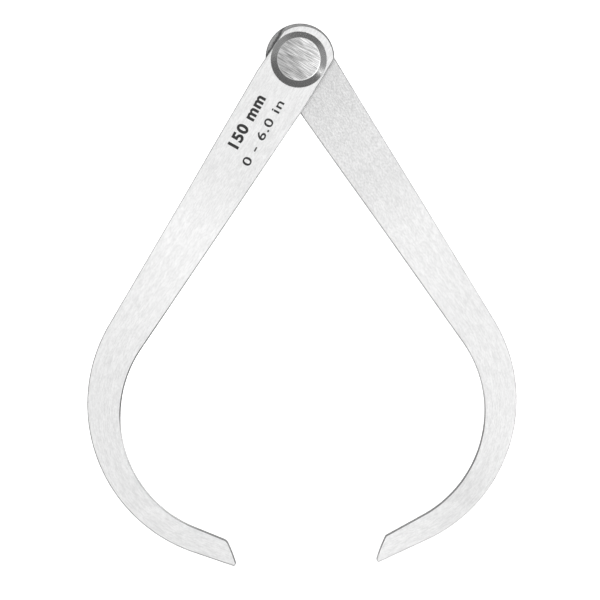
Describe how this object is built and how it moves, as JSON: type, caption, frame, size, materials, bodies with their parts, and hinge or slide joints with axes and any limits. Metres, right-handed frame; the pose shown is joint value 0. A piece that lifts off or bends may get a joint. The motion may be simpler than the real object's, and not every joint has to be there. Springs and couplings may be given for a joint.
{
  "type": "outside caliper",
  "caption": "Firm-joint outside caliper: two flat bowed steel legs that turn on a riveted friction joint and measure between their curved tips.",
  "frame": {"origin": "on the joint axis, at the flat face of the back joint disc, which the caliper rests on", "axes": "+Z along the joint axis towards the front leg's disc, +Y from the tips over the rounded heads, +X towards the rear leg's bow"},
  "size_m": [0.1267, 0.1601, 0.0102],
  "materials": {
    "leg_steel": "fine brushed along each leg",
    "joint_steel": "face ground flush with straight brush lines, bevel turned",
    "washer_brass": "plain rolled sheet"
  },
  "bodies": {
    "front_side": {"front_leg": "leg_steel", "joint_rivet": "joint_steel", "front_joint_disc": "joint_steel", "back_joint_disc": "joint_steel", "middle_friction_washer": "washer_brass", "back_friction_washer": "washer_brass"},
    "rear_side": {"rear_leg": "leg_steel"}
  },
  "joints": [
    {"name": "firm_joint", "type": "hinge", "parent": "front_side", "child": "rear_side", "pos_m": [0, 0, 0], "axis": [0, 0, 1], "range_deg": [-15.9, 114]}
  ]
}
